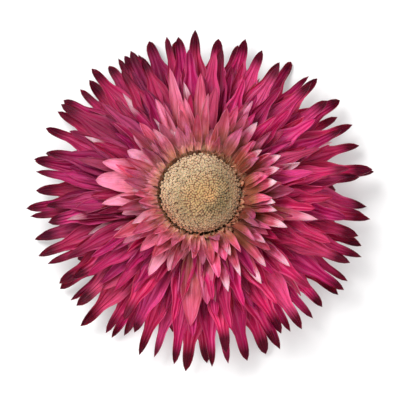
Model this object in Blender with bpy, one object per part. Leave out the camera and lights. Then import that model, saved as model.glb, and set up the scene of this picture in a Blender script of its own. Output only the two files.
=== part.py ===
"""A dried strawflower head (Xerochrysum bracteatum), cut just under the bloom and lying face up.

Metres, +Z up. +Z runs up the head's own axis, and the origin is under the middle of the head's outline, on
the surface that the head lies on. Lengths below are in millimetres and are scaled by MM.

The head is built as it grows: a cut stem that widens into the receptacle, papery bracts that climb the
receptacle in one golden-angle spiral (short brown scales, then the long magenta ray bracts, then short
pale bracts round the disc), and a domed disc of florets on top.
"""

import math
import random

import bmesh
import bpy
from mathutils import Matrix, Vector, geometry

MM = 0.001
GOLDEN_ANGLE = math.radians(137.50776)

# Driving dimensions. The bracts' reach below sets the head's width, about 42 mm.
DISC_RADIUS = 5.1
BLADE_THICKNESS = 0.6
TURN_SIDES = 32

# Cut stem and receptacle, as a turned outline (radius, height)
STEM_RADIUS = 1.4
STEM_TOP = 1.4
RECEPTACLE_OUTLINE = (
    (STEM_RADIUS, 0.0),
    (1.25, 0.9),
    (1.6, STEM_TOP),
    (3.0, 2.0),
    (4.1, 2.9),
    (4.3, 3.7),
    (4.3, 5.0),
    (3.7, 5.6),
    (0.0, 5.9),
)
STEM_RIBS = 10
STEM_RIB_DEPTH = 0.09

# Fused bases of the three kinds of bract, as closed turned outlines round the receptacle and the disc
SCALE_CORE = ((1.95, 0.9), (3.6, 1.0), (5.6, 1.9), (5.6, 2.7), (4.6, 2.7), (3.35, 1.78))
RAY_CORE = ((4.6, 3.15), (7.8, 3.5), (8.7, 4.4), (8.6, 6.2), (6.6, 6.0), (4.6, 5.3))
INNER_CORE = ((5.4, 6.0), (6.1, 6.3), (6.7, 7.2), (6.5, 7.8), (5.4, 7.0))

# Disc florets on their dome
DISC_OUTLINE = ((4.9, 6.2), (DISC_RADIUS, 6.7), (4.7, 7.3), (3.4, 7.55), (2.0, 8.0), (0.0, 8.2))
DISC_FLORETS = 89
FLORET_RISE = 0.5
FLORET_DIMPLE = 0.2
MOUTH_SHARE = 0.55
SAME_PLACE = 1e-6

# Bearings, in degrees, where the outline has a deep notch between ray bracts
NOTCHES = (4.0, 16.0, 90.0, 276.0, 340.0)
NOTCH_HALF_WIDTH = 2.4

# A bract along its length, in shares of it: where its blade is cut across, where it is widest, where it
# starts to narrow, and how bluntly it then comes to its point
STATIONS = (0.0, 0.42, 0.8)
WIDEST = 0.5
NARROWS = 0.55
BLUNTNESS = 2.6
MIDRIB_STEPS = 50

# Each kind of bract runs from its outermost (share 0) to its innermost (share 1)
SCALES = {
    "count": 26,
    "seed": 5,
    "root_radius": ((0.0, 2.6), (1.0, 4.3)),
    "root_height": ((0.0, 1.35), (1.0, 2.2)),
    "root_lift": ((0.0, 4.0), (1.0, 18.0)),
    "tip_lift": ((0.0, 12.0), (1.0, 4.0)),
    "reach": ((0.0, 5.6), (1.0, 8.3)),
    "width": ((0.0, 2.0), (1.0, 2.5)),
    "claw": 0.75,
    "cup": 0.12,
    "spread": {"turn": 5.0, "lift": 1.5, "roll": 3.0, "reach": 0.4, "width": 0.12},
    "notched_below": -1.0,
}
RAYS = {
    "count": 118,
    "seed": 376,
    "root_radius": ((0.0, 5.1), (1.0, 5.0)),
    "root_height": ((0.0, 3.9), (1.0, 4.9)),
    "root_lift": ((0.0, 9.0), (0.5, 21.0), (1.0, 38.0)),
    "tip_lift": ((0.0, -38.0), (0.5, -8.0), (1.0, 14.0)),
    "reach": ((0.0, 20.7), (0.12, 21.3), (0.45, 20.8), (0.7, 18.0), (1.0, 13.2)),
    "width": ((0.0, 3.6), (0.5, 3.4), (1.0, 2.4)),
    "claw": 0.42,
    "cup": 0.16,
    "spread": {"turn": 5.5, "lift": 3.0, "roll": 11.0, "reach": 0.9, "width": 0.35},
    "notched_below": 0.5,
}
INNERS = {
    "count": 30,
    "seed": 41,
    "root_radius": ((0.0, 5.8), (1.0, 5.7)),
    "root_height": ((0.0, 6.55), (1.0, 6.75)),
    "root_lift": ((0.0, 52.0), (1.0, 72.0)),
    "tip_lift": ((0.0, 28.0), (1.0, 50.0)),
    "reach": ((0.0, 11.8), (1.0, 8.0)),
    "width": ((0.0, 2.0), (1.0, 1.5)),
    "claw": 0.6,
    "cup": 0.2,
    "spread": {"turn": 5.0, "lift": 3.0, "roll": 10.0, "reach": 0.6, "width": 0.25},
    "notched_below": -1.0,
}

# Finishes: base colour, roughness
BROWN_STEM = ((0.30, 0.19, 0.09), 0.85)
TAN_SCALE = ((0.36, 0.19, 0.10), 0.5)
MAGENTA_BRACT = ((0.37, 0.03, 0.11), 0.42)
ROSE_BRACT = ((0.52, 0.16, 0.17), 0.42)
STRAW_DISC = ((0.42, 0.28, 0.13), 0.9)


def clear_scene():
    for obj in list(bpy.data.objects):
        bpy.data.objects.remove(obj)


def along(points, share):
    """Value at a share from 0 to 1 on a line drawn through (share, value) points."""
    for (low, before), (high, after) in zip(points, points[1:]):
        if share <= high:
            return before + (after - before) * (share - low) / (high - low)
    return points[-1][1]


def finish(name, look):
    colour, roughness = look
    material = bpy.data.materials.new(name)
    material.use_nodes = True
    shader = material.node_tree.nodes["Principled BSDF"]
    shader.inputs["Base Color"].default_value = (*colour, 1.0)
    shader.inputs["Roughness"].default_value = roughness
    shader.inputs["Metallic"].default_value = 0.0
    return material


def mesh_object(name, points, faces):
    """An object of one closed mesh, from points in millimetres."""
    mesh = bpy.data.meshes.new(name)
    mesh.from_pydata([Vector(p) * MM for p in points], [], faces)
    shape = bmesh.new()
    shape.from_mesh(mesh)
    bmesh.ops.recalc_face_normals(shape, faces=shape.faces)
    bmesh.ops.triangulate(shape, faces=shape.faces)
    shape.to_mesh(mesh)
    shape.free()
    obj = bpy.data.objects.new(name, mesh)
    bpy.context.scene.collection.objects.link(obj)
    return obj


def turned(name, outline, closed, sides=TURN_SIDES, radius_at=None):
    """Turns an outline of (radius, height) points about Z. A closed outline makes a ring; an open one
    starts with a flat face at its first point and ends on the axis."""
    ring_points = outline if closed else outline[:-1]
    points = []
    for radius, height in ring_points:
        for side in range(sides):
            turn = 2 * math.pi * side / sides
            here = radius_at(radius, height, turn) if radius_at else radius
            points.append((here * math.cos(turn), here * math.sin(turn), height))
    faces = []
    rows = len(ring_points)
    for row in range(rows if closed else rows - 1):
        above = (row + 1) % rows
        for side in range(sides):
            after = (side + 1) % sides
            low, high = row * sides, above * sides
            faces.append((low + side, low + after, high + after, high + side))
    if not closed:
        top = len(points)
        points.append((0.0, 0.0, outline[-1][1]))
        last = (rows - 1) * sides
        for side in range(sides):
            faces.append((last + side, last + (side + 1) % sides, top))
        faces.append(tuple(range(sides)))
    return mesh_object(name, points, faces)


def clear_of_notches(azimuth):
    """Turns a bract aside from a notch in the outline, in degrees."""
    for notch in NOTCHES:
        off = (azimuth - notch + 180.0) % 360.0 - 180.0
        if abs(off) < NOTCH_HALF_WIDTH:
            return notch + math.copysign(NOTCH_HALF_WIDTH + abs(off) / 2, off)
    return azimuth


def bracts_of(kind):
    """One dict of sizes for each bract of a kind, on the spiral, from the outermost in."""
    draw = random.Random(kind["seed"])
    spread = kind["spread"]
    bracts = []
    for index in range(kind["count"]):
        share = index / (kind["count"] - 1)
        azimuth = math.degrees(index * GOLDEN_ANGLE) % 360.0 + draw.uniform(-1, 1) * spread["turn"]
        lift = draw.uniform(-1, 1) * spread["lift"]
        tip_lift = along(kind["tip_lift"], share) + lift + draw.uniform(-1, 1) * spread["lift"]
        if share < kind["notched_below"]:
            azimuth = clear_of_notches(azimuth % 360.0)
        bracts.append({
            "azimuth": math.radians(azimuth),
            "root_radius": along(kind["root_radius"], share),
            "root_height": along(kind["root_height"], share),
            "root_lift": math.radians(along(kind["root_lift"], share) + lift),
            "tip_lift": math.radians(tip_lift),
            "roll": math.radians(draw.uniform(-1, 1) * spread["roll"]),
            "reach": along(kind["reach"], share) + draw.uniform(-1, 1) * spread["reach"],
            "width": along(kind["width"], share) + draw.uniform(-1, 1) * spread["width"],
            "claw": kind["claw"],
            "cup": kind["cup"],
        })
    return bracts


def midrib(bract, steps=MIDRIB_STEPS):
    """Radius, height and lift at each step along a bract, which bends evenly from its root lift to its
    tip lift and is as long as it has to be to reach its tip radius."""
    bend = bract["tip_lift"] - bract["root_lift"]
    lifts = [bract["root_lift"] + bend * k / steps for k in range(steps + 1)]
    run = sum(math.cos((a + b) / 2) for a, b in zip(lifts, lifts[1:])) / steps
    step = (bract["reach"] - bract["root_radius"]) / run / steps
    line = [(bract["root_radius"], bract["root_height"], lifts[0])]
    for before, after in zip(lifts, lifts[1:]):
        radius, height, _ = line[-1]
        middle = (before + after) / 2
        line.append((radius + step * math.cos(middle), height + step * math.sin(middle), after))
    return line


def half_width(bract, share):
    """Half the bract's width at a share of its length: it widens from the claw, then narrows to a point."""
    widening = min(1.0, share / WIDEST)
    body = bract["claw"] + (1 - bract["claw"]) * (3 - 2 * widening) * widening ** 2
    narrowing = max(0.0, (share - NARROWS) / (1 - NARROWS))
    return bract["width"] / 2 * body * (1 - narrowing ** BLUNTNESS)


def blade(bract, name):
    """A bract as a thin closed blade: cupped across, with one fold along its midrib and a pointed end."""
    line = midrib(bract)
    rows = [*STATIONS, 1.0]
    out = Vector((math.cos(bract["azimuth"]), math.sin(bract["azimuth"]), 0.0))
    side = Vector((-out.y, out.x, 0.0))
    upper, lower = [], []
    for share in rows:
        radius, height, lift = line[round(share * (len(line) - 1))]
        centre = out * radius + Vector((0.0, 0.0, height))
        normal = Vector((0.0, 0.0, math.cos(lift))) - out * math.sin(lift)
        roll = bract["roll"] * share
        across = side * math.cos(roll) + normal * math.sin(roll)
        half = half_width(bract, share)
        offsets = (-1, 0, 1) if share < 1 else (0,)
        for offset in offsets:
            rise = 2 * half * bract["cup"] * abs(offset)
            top = centre + across * (half * offset) + normal * (rise + BLADE_THICKNESS / 2)
            bottom = top - normal * BLADE_THICKNESS
            lift_clear = max(0.0, -min(top.z, bottom.z))
            upper.append(top + Vector((0.0, 0.0, lift_clear)))
            lower.append(bottom + Vector((0.0, 0.0, lift_clear)))
    count = len(upper)
    tip = count - 1
    faces = []
    for row in range(len(rows) - 2):
        for column in range(2):
            a = row * 3 + column
            faces.append((a, a + 1, a + 4, a + 3))
            faces.append((count + a, count + a + 3, count + a + 4, count + a + 1))
    last = (len(rows) - 2) * 3
    for column in range(2):
        a = last + column
        faces.append((a, a + 1, tip))
        faces.append((count + a, count + tip, count + a + 1))
    left = [row * 3 for row in range(len(rows) - 1)] + [tip]
    right = [row * 3 + 2 for row in range(len(rows) - 1)] + [tip]
    for edge in (left, right, [0, 1, 2]):
        for a, b in zip(edge, edge[1:]):
            faces.append((a, b, count + b, count + a))
    return mesh_object(name, upper + lower, faces)


def keep_outer_shell(mesh):
    """Keeps the largest connected surface: hollows that the union sealed are filled, scraps dropped."""
    shape = bmesh.new()
    shape.from_mesh(mesh)
    unseen = set(shape.faces)
    shells = []
    while unseen:
        front = [unseen.pop()]
        shell = list(front)
        while front:
            face = front.pop()
            for edge in face.edges:
                for neighbour in edge.link_faces:
                    if neighbour in unseen:
                        unseen.remove(neighbour)
                        front.append(neighbour)
                        shell.append(neighbour)
        shells.append(shell)
    shells.sort(key=len)
    for shell in shells[:-1]:
        bmesh.ops.delete(shape, geom=shell, context="FACES")
    shape.to_mesh(mesh)
    shape.free()


def joined(core, pieces):
    """Joins the pieces to their core with one Boolean union, applies it and removes the pieces."""
    group = bpy.data.collections.new(core.name + "_pieces")
    bpy.context.scene.collection.children.link(group)
    for piece in pieces:
        bpy.context.scene.collection.objects.unlink(piece)
        group.objects.link(piece)
    union = core.modifiers.new("join", "BOOLEAN")
    union.operation = "UNION"
    union.operand_type = "COLLECTION"
    union.collection = group
    union.solver = "MANIFOLD"
    graph = bpy.context.evaluated_depsgraph_get()
    fused = bpy.data.meshes.new_from_object(core.evaluated_get(graph))
    core.modifiers.clear()
    keep_outer_shell(fused)
    core.data = fused
    for piece in list(group.objects):
        bpy.data.objects.remove(piece)
    bpy.data.collections.remove(group)
    return core


def make_receptacle():
    def ribbed(radius, height, turn):
        fade = max(0.0, 1 - height / STEM_TOP)
        return radius * (1 + STEM_RIB_DEPTH * fade * (math.cos(STEM_RIBS * turn) - 1) / 2)

    return turned("stem_and_receptacle", RECEPTACLE_OUTLINE, False, radius_at=ribbed)


def make_bracts(name, kind, core_outline):
    core = turned(name, core_outline, True)
    blades = [blade(bract, f"{name}_{n}") for n, bract in enumerate(bracts_of(kind))]
    return joined(core, blades)


def disc_height(radius):
    return along([(r, z) for r, z in reversed(DISC_OUTLINE)], radius)


def make_disc():
    """The disc as one cobbled dome. Each floret sits on the golden-angle spiral and is a raised mouth
    with a dimple in it; it meets its neighbours in a valley whose corners lie between three florets."""
    reach = DISC_RADIUS - FLORET_RISE / 2
    centres = []
    for index in range(DISC_FLORETS):
        radius = reach * math.sqrt((index + 0.5) / DISC_FLORETS)
        turn = index * GOLDEN_ANGLE
        centres.append(Vector((radius * math.cos(turn), radius * math.sin(turn))))
    _, _, triangles, _, _, _ = geometry.delaunay_2d_cdt(centres, [], [], 0, SAME_PLACE)

    def on_dome(place, rise):
        return (place.x, place.y, disc_height(place.length) + rise)

    points = [on_dome(place, FLORET_DIMPLE) for place in centres]
    edges = {}
    valley = {}
    mouth = {}
    for number, triangle in enumerate(triangles):
        corners = [centres[k] for k in triangle]
        middle = sum(corners, Vector((0.0, 0.0))) / 3
        valley[number] = len(points)
        points.append(on_dome(middle, 0.0))
        for k in triangle:
            mouth[number, k] = len(points)
            points.append(on_dome(centres[k].lerp(middle, MOUTH_SHARE), FLORET_RISE))
        for k in range(3):
            start, end = triangle[k], triangle[(k + 1) % 3]
            edges.setdefault(frozenset((start, end)), []).append((number, start, end))
    faces = []
    rim = {}
    for sides in edges.values():
        number, start, end = sides[0]
        if len(sides) == 1:
            faces.append((start, end, mouth[number, end], mouth[number, start]))
            faces.append((mouth[number, start], mouth[number, end], valley[number]))
            rim[start] = end
            continue
        other = sides[1][0]
        for floret in (start, end):
            faces.append((floret, mouth[number, floret], mouth[other, floret]))
            faces.append((mouth[number, floret], valley[number], valley[other], mouth[other, floret]))
    loop = [next(iter(rim))]
    while rim[loop[-1]] != loop[0]:
        loop.append(rim[loop[-1]])
    (base_radius, base_height), (rim_radius, rim_height) = DISC_OUTLINE[:2]
    low, base = [], []
    for k in loop:
        outward = centres[k].normalized()
        low.append(len(points))
        points.append((*(outward * rim_radius), rim_height))
        base.append(len(points))
        points.append((*(outward * base_radius), base_height))
    for k in range(len(loop)):
        after = (k + 1) % len(loop)
        faces.append((loop[k], loop[after], low[after], low[k]))
        faces.append((low[k], low[after], base[after], base[k]))
    faces.append(tuple(base))
    return mesh_object("disc_florets", points, faces)


def give(obj, name, look):
    obj.data.materials.clear()
    obj.data.materials.append(finish(name, look))
    return obj


def centre_on_origin():
    """Moves every piece so that the middle of the head's outline is over the origin, at rest on height 0."""
    pieces = [obj for obj in bpy.data.objects if obj.type == "MESH"]
    corners = [vertex.co for piece in pieces for vertex in piece.data.vertices]
    low = Vector(min(corner[axis] for corner in corners) for axis in range(3))
    high = Vector(max(corner[axis] for corner in corners) for axis in range(3))
    middle = (low + high) / 2
    for piece in pieces:
        piece.data.transform(Matrix.Translation((-middle.x, -middle.y, -low.z)))


def main():
    clear_scene()
    give(make_receptacle(), "stem", BROWN_STEM)
    give(make_bracts("scale_bracts", SCALES, SCALE_CORE), "scale", TAN_SCALE)
    give(make_bracts("ray_bracts", RAYS, RAY_CORE), "ray", MAGENTA_BRACT)
    give(make_bracts("inner_bracts", INNERS, INNER_CORE), "inner", ROSE_BRACT)
    give(make_disc(), "disc", STRAW_DISC)
    centre_on_origin()


main()
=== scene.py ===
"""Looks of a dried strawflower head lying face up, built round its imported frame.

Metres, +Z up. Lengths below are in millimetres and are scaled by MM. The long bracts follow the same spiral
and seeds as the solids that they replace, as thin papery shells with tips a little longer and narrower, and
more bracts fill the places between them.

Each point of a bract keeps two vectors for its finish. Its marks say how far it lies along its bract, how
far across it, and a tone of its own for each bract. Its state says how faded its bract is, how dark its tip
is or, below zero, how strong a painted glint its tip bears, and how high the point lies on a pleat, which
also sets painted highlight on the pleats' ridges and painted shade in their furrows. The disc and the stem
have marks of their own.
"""

import math
import random

import bpy
import numpy as np
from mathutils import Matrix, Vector


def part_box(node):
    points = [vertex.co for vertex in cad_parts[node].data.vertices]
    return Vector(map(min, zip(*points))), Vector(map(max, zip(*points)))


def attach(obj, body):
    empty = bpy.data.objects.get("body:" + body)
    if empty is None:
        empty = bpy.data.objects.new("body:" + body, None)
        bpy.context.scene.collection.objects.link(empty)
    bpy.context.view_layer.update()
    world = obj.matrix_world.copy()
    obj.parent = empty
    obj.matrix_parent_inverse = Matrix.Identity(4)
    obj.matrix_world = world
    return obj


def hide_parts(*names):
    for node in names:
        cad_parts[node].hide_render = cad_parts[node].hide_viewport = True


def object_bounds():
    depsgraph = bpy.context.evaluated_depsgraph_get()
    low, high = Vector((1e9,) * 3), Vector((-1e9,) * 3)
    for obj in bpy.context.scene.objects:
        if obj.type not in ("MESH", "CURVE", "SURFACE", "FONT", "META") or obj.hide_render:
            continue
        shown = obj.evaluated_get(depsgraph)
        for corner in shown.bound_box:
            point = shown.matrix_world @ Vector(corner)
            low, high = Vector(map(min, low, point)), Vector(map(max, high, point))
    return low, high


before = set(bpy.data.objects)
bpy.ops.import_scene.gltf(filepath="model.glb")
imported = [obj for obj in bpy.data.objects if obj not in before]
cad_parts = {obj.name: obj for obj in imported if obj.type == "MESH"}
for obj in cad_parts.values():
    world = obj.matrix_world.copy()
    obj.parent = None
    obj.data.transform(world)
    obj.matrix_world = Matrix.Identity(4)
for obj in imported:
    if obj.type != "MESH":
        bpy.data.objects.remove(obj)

CAD_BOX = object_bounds()
MM = 0.001
GOLDEN_ANGLE = math.radians(137.50776)

# Stem, receptacle and disc, as turned outlines of (radius, height)
STEM_TOP = 1.4
STUB_OUTLINE = (
    (0.35, 0.16),
    (0.75, 0.1),
    (0.95, 0.03),
    (1.15, 0.0),
    (1.34, 0.02),
    (1.36, 0.15),
    (1.33, 0.4),
    (1.27, 0.7),
    (1.25, 0.95),
    (1.38, 1.2),
)
RECEPTACLE_TOP = 5.85
RECEPTACLE_OUTLINE = (
    (1.6, STEM_TOP),
    (3.0, 2.0),
    (4.1, 2.9),
    (4.3, 3.7),
    (4.3, 5.0),
    (3.7, 5.6),
    (0.4, RECEPTACLE_TOP),
)
STEM_SIDES = 120
STEM_RIBS = 10
STEM_RIB_DEPTH = 0.045
STEM_FIBRES = 37
STEM_FIBRE_DEPTH = 0.014
STEM_FIBRE_DRIFT = 3
FIBROUS_TO = 2.2 * STEM_TOP
DISC_RADIUS = 5.1
DISC_OUTLINE = ((5.1, 6.5), (4.9, 7.0), (4.4, 7.35), (3.4, 7.6), (2.0, 8.0), (0.0, 8.2))
DISC_CORE = ((4.75, 6.25), (4.95, 6.6), (4.6, 7.0), (3.3, 7.15), (1.9, 7.75), (0.4, 8.0))
CORE_SIDES = 48

# Outline of a bract, in shares of its length: where it is widest, where it starts to narrow to its point, and
# where it narrows to its spine, which is a share of its width
WIDEST = 0.5
NARROWS = 0.5
SHOULDER = (0.62, 0.81)
SPINE = 0.8
MIDRIB_STEPS = 50

# Bearings, in degrees, where the outline has a deep notch between ray bracts
NOTCHES = (4.0, 16.0, 90.0, 276.0, 340.0)
NOTCH_HALF_WIDTH = 2.4

# How dark a tip is, by its distance from the axis
TIPPED_BY_REACH = ((18.3, 0.0), (19.3, 1.0))
NOT_TIPPED = ((0.0, 0.0), (1.0, 0.0))

# Each kind of bract runs from its outermost (share 0) to its innermost (share 1). Its lines are drawn through
# (share, value) points, apart from tipped, which goes by the distance from the axis. Angles are in degrees.
# The claw is the root's width as a share, start its first place on the spiral, notched_below the share up to
# which it keeps clear of the notches, and the last key the share of its tips that bear a painted glint.
SCALES = {
    "count": 26,
    "seed": 5,
    "root_radius": ((0.0, 2.6), (1.0, 4.3)),
    "root_height": ((0.0, 1.35), (1.0, 2.2)),
    "root_lift": ((0.0, 4.0), (1.0, 18.0)),
    "tip_lift": ((0.0, 12.0), (1.0, 4.0)),
    "reach": ((0.0, 5.6), (1.0, 8.3)),
    "width": ((0.0, 2.0), (1.0, 2.5)),
    "claw": 0.75,
    "cup": 0.12,
    "spread": {"turn": 5.0, "lift": 1.5, "roll": 3.0, "reach": 0.4, "width": 0.12},
}
RAYS = {
    "count": 118,
    "seed": 376,
    "root_radius": ((0.0, 5.1), (1.0, 5.0)),
    "root_height": ((0.0, 3.9), (1.0, 4.9)),
    "root_lift": ((0.0, 9.0), (0.5, 21.0), (1.0, 38.0)),
    "tip_lift": ((0.0, -38.0), (0.5, -8.0), (1.0, 14.0)),
    "reach": ((0.0, 21.3), (0.12, 21.8), (0.45, 21.2), (0.7, 18.0), (1.0, 13.2)),
    "width": ((0.0, 3.6), (0.5, 3.4), (1.0, 2.4)),
    "claw": 0.42,
    "cup": 0.16,
    "spread": {"turn": 5.5, "lift": 3.0, "roll": 11.0, "reach": 0.9, "width": 0.35},
    "notched_below": 0.5,
    "spine": 0.46,
    "tipped": TIPPED_BY_REACH,
}
INNERS = {
    "count": 30,
    "seed": 41,
    "root_radius": ((0.0, 5.8), (1.0, 5.7)),
    "root_height": ((0.0, 6.55), (1.0, 6.75)),
    "root_lift": ((0.0, 52.0), (1.0, 72.0)),
    "tip_lift": ((0.0, 28.0), (1.0, 50.0)),
    "reach": ((0.0, 11.8), (1.0, 8.0)),
    "width": ((0.0, 2.0), (1.0, 1.5)),
    "claw": 0.6,
    "cup": 0.2,
    "spread": {"turn": 5.0, "lift": 3.0, "roll": 10.0, "reach": 0.6, "width": 0.25},
    "unfaded": -0.7,
}

# More bracts than the solids hold: behind the rays, and between them
BACKING = {
    "count": 58,
    "seed": 12,
    "root_radius": ((0.0, 5.2), (1.0, 5.2)),
    "root_height": ((0.0, 3.5), (1.0, 3.8)),
    "root_lift": ((0.0, 5.0), (1.0, 10.0)),
    "tip_lift": ((0.0, -36.0), (1.0, -34.0)),
    "reach": ((0.0, 16.6), (1.0, 17.4)),
    "width": ((0.0, 3.0), (1.0, 3.2)),
    "claw": 0.42,
    "cup": 0.16,
    "spread": {"turn": 4.0, "lift": 2.0, "roll": 9.0, "reach": 0.6, "width": 0.35},
    "notched_below": 1.1,
    "start": -58,
    "spine": 0.7,
    "tipped": ((16.0, 0.35), (17.8, 0.9)),
}
FILLING = {
    "count": 150,
    "seed": 29,
    "root_radius": ((0.0, 5.1), (1.0, 5.1)),
    "root_height": ((0.0, 4.3), (1.0, 5.3)),
    "root_lift": ((0.0, 16.0), (0.5, 30.0), (1.0, 46.0)),
    "tip_lift": ((0.0, -24.0), (0.5, -4.0), (1.0, 20.0)),
    "reach": ((0.0, 17.6), (0.5, 15.5), (1.0, 10.8)),
    "width": ((0.0, 2.2), (0.5, 1.8), (1.0, 1.4)),
    "claw": 0.5,
    "cup": 0.24,
    "spread": {"turn": 9.0, "lift": 5.0, "roll": 20.0, "reach": 1.3, "width": 0.45},
    "start": 0.38,
    "tipped": TIPPED_BY_REACH,
    "painted_glint": 0.12,
}

# Between the inner ones
RUFF = {
    "count": 36,
    "seed": 64,
    "root_radius": ((0.0, 5.7), (1.0, 5.65)),
    "root_height": ((0.0, 6.3), (1.0, 6.6)),
    "root_lift": ((0.0, 46.0), (1.0, 74.0)),
    "tip_lift": ((0.0, 20.0), (1.0, 62.0)),
    "reach": ((0.0, 12.4), (1.0, 7.5)),
    "width": ((0.0, 1.8), (1.0, 1.2)),
    "claw": 0.6,
    "cup": 0.24,
    "spread": {"turn": 8.0, "lift": 5.0, "roll": 20.0, "reach": 0.8, "width": 0.3},
    "unfaded": -0.7,
    "start": 0.5,
}

# Bracts that stand out: bearing in degrees, tip radius, width, lift at the root and tip in degrees, fading of
# the whole face, and strength of a painted glint on the tip
NOTABLE = (
    (172.0, 13.4, 3.0, 44.0, -14.0, 0.85, 0.1),
    (162.0, 13.0, 2.8, 46.0, -10.0, 0.95, 0.15),
    (153.0, 10.6, 2.4, 54.0, 0.0, 0.9, 0.35),
    (141.0, 11.0, 1.9, 54.0, 10.0, 0.8, 0.3),
    (127.0, 9.6, 1.6, 62.0, 30.0, 0.6, 0.3),
    (116.0, 13.0, 1.7, 50.0, 0.0, 0.8, 0.1),
    (99.0, 12.0, 1.7, 52.0, 6.0, 0.6, 0.1),
    (187.0, 12.6, 1.9, 48.0, -8.0, 0.9, 0.2),
    (196.0, 10.4, 1.8, 54.0, 0.0, 0.9, 0.35),
    (207.0, 9.8, 1.7, 60.0, 20.0, 0.9, 0.5),
    (217.0, 12.0, 1.6, 50.0, 2.0, 0.8, 0.2),
    (228.0, 11.0, 2.1, 54.0, 4.0, 0.8, 0.0),
    (239.0, 12.8, 2.2, 48.0, -4.0, 0.8, 0.3),
    (249.0, 11.2, 2.0, 52.0, 2.0, 0.8, 0.4),
    (264.0, 17.2, 3.4, 34.0, -16.0, 0.0, 0.0),
    (274.0, 14.6, 2.4, 42.0, -6.0, 0.05, 0.0),
    (32.0, 9.0, 1.5, 64.0, 54.0, 0.2, 0.6),
    (50.0, 11.0, 1.6, 56.0, 30.0, 0.3, 0.7),
    (21.0, 10.9, 2.0, 56.0, 42.0, 0.0, 1.0),
    (14.0, 10.2, 1.6, 58.0, 46.0, 0.0, 0.9),
    (1.0, 9.7, 1.9, 62.0, 48.0, 0.0, 1.0),
    (349.0, 9.7, 1.8, 62.0, 48.0, 0.0, 1.0),
    (341.0, 10.2, 1.6, 60.0, 46.0, 0.0, 0.8),
    (332.0, 12.2, 1.7, 52.0, 36.0, 0.1, 0.9),
    (318.0, 11.0, 1.5, 56.0, 40.0, 0.0, 0.6),
    (294.0, 9.6, 1.5, 60.0, 38.0, 0.2, 0.7),
    (296.0, 12.6, 1.6, 50.0, 32.0, 0.0, 1.0),
    (287.0, 13.8, 1.7, 46.0, 24.0, 0.1, 0.9),
    (304.0, 14.6, 1.6, 42.0, 26.0, 0.0, 0.9),
    (311.0, 13.2, 1.4, 46.0, 30.0, 0.0, 0.7),
    (320.0, 15.2, 1.6, 40.0, 24.0, 0.0, 0.8),
    (343.0, 15.4, 1.7, 40.0, 20.0, 0.1, 0.6),
    (90.0, 15.2, 1.9, 38.0, 2.0, 0.0, 0.0),
    (106.0, 16.4, 1.9, 36.0, -6.0, 0.5, 0.1),
    (62.0, 13.6, 1.6, 44.0, 8.0, 0.3, 0.3),
    (66.0, 8.6, 1.3, 52.0, 10.0, 0.9, 0.3),
    (79.0, 8.2, 1.3, 54.0, 4.0, 0.8, 0.4),
    (93.0, 9.0, 1.5, 50.0, 0.0, 1.0, 0.3),
    (103.0, 8.4, 1.4, 50.0, -8.0, 0.9, 0.6),
    (113.0, 9.2, 1.6, 50.0, -6.0, 1.0, 0.7),
    (133.0, 8.8, 1.4, 50.0, -6.0, 0.7, 0.4),
    (147.0, 9.3, 1.9, 50.0, -14.0, 1.0, 0.5),
    (157.0, 8.6, 1.5, 52.0, -12.0, 1.0, 0.6),
    (167.0, 9.4, 1.9, 50.0, -16.0, 1.0, 0.8),
    (179.0, 8.6, 1.5, 52.0, -12.0, 0.9, 0.6),
    (189.0, 9.6, 1.7, 48.0, -14.0, 1.0, 0.8),
    (201.0, 8.8, 1.5, 50.0, -12.0, 1.0, 0.6),
    (214.0, 9.5, 1.8, 48.0, -12.0, 0.9, 0.8),
    (224.0, 8.8, 1.4, 52.0, -8.0, 0.8, 0.4),
    (236.0, 9.6, 1.7, 48.0, -8.0, 0.9, 0.5),
    (257.0, 9.2, 1.6, 50.0, -2.0, 0.7, 0.3),
    (271.0, 9.6, 1.5, 50.0, 4.0, 0.5, 0.2),
)

# How high such a bract is rooted, by its tip radius: the short ones lie on top
NOTABLE_ROOTS = ((9.7, 7.3), (10.6, 6.7), (13.0, 6.4), (13.5, 5.6))
NOTABLE_FORM = {"root_radius": 5.6, "roll": 0.0, "claw": 0.5, "cup": 0.2, "spine": SPINE, "share": 0.9}

# Fillers part the outermost tips, which are the rays below a share, so that they stand this many degrees
# apart at most, except across the notches
OUTERMOST = 0.44
WIDEST_GAP = 8.2
FILLER_SHORTER = (0.1, 0.8)
FILLER_ROOT_HEIGHT = 3.8
FILLER_WIDTH = (2.2, 2.8)
FILLER_ROLL = 10.0

# More scales than the solids hold
SCALE_ROWS = {
    "count": 46,
    "seed": 8,
    "root_radius": ((0.0, 2.0), (1.0, 5.0)),
    "root_height": ((0.0, 1.25), (1.0, 2.9)),
    "root_lift": ((0.0, 4.0), (1.0, 14.0)),
    "tip_lift": ((0.0, 6.0), (1.0, -4.0)),
    "reach": ((0.0, 4.2), (0.5, 7.4), (1.0, 10.6)),
    "width": ((0.0, 1.3), (1.0, 2.3)),
    "claw": 0.7,
    "cup": 0.12,
    "spread": {"turn": 5.0, "lift": 1.5, "roll": 5.0, "reach": 0.4, "width": 0.2},
    "start": 0.5,
    "tipped": ((4.0, 0.6), (10.6, 0.2)),
}

# Short bracts close round the disc
CHAFF = {
    "count": 150,
    "seed": 91,
    "root_radius": ((0.0, 5.5), (1.0, 5.15)),
    "root_height": ((0.0, 6.1), (1.0, 6.3)),
    "root_lift": ((0.0, 54.0), (1.0, 66.0)),
    "tip_lift": ((0.0, 30.0), (1.0, 58.0)),
    "reach": ((0.0, 7.1), (1.0, 5.6)),
    "width": ((0.0, 1.1), (1.0, 0.8)),
    "claw": 0.8,
    "cup": 0.2,
    "spread": {"turn": 9.0, "lift": 4.0, "roll": 25.0, "reach": 0.15, "width": 0.2},
    "start": 0.2,
}

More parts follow.
